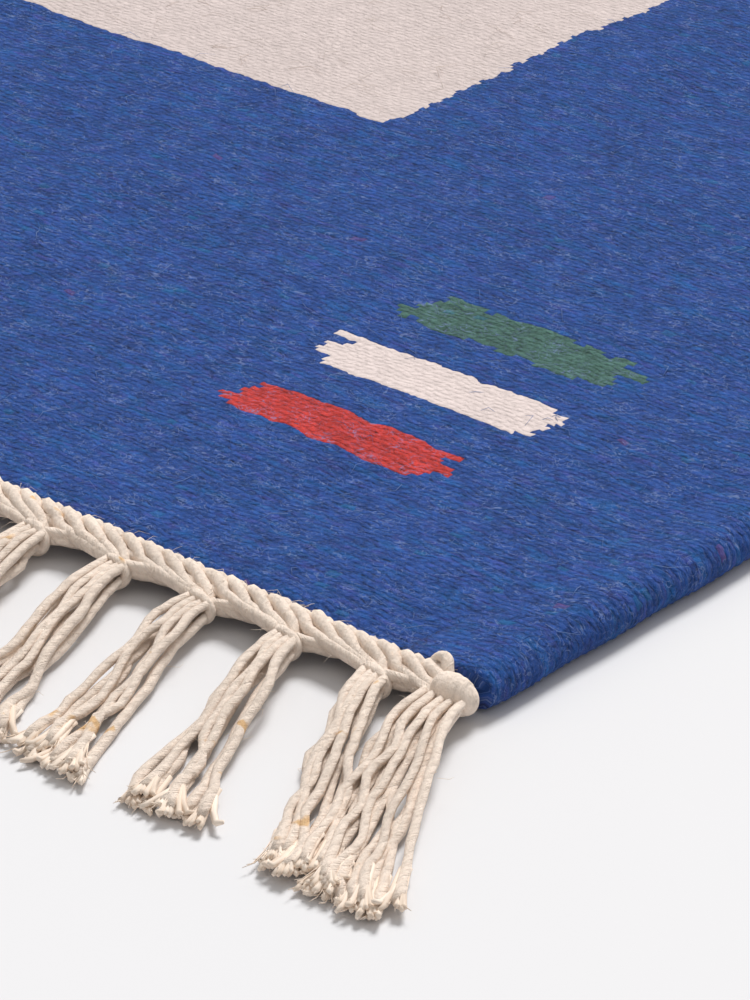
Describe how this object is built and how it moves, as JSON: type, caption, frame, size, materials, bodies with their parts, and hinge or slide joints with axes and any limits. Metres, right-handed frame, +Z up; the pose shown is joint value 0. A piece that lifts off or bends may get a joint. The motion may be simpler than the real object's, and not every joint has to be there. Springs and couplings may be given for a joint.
{
  "type": "kilim",
  "caption": "Flat-woven wool kilim lying flat, with a blue border round a plain cream field, small coloured bars in its corners, rolled sides, plaited cotton ends and a tasselled fringe",
  "frame": {"origin": "on the floor under the middle of the rug", "axes": "+X along the weft to the right side, +Y along the warp from the front fringe to the back fringe, +Z up from the floor"},
  "size_m": [0.8676, 1.6072, 0.0082],
  "materials": {
    "wool": "weft-faced wool weave",
    "cotton": "undyed twisted yarn"
  },
  "bodies": {
    "root": {"web": "wool", "fringe_front": "cotton", "fringe_back": "cotton", "corner_front_right": "cotton", "corner_front_left": "cotton", "corner_back_left": "cotton", "corner_back_right": "cotton"}
  },
  "joints": []
}
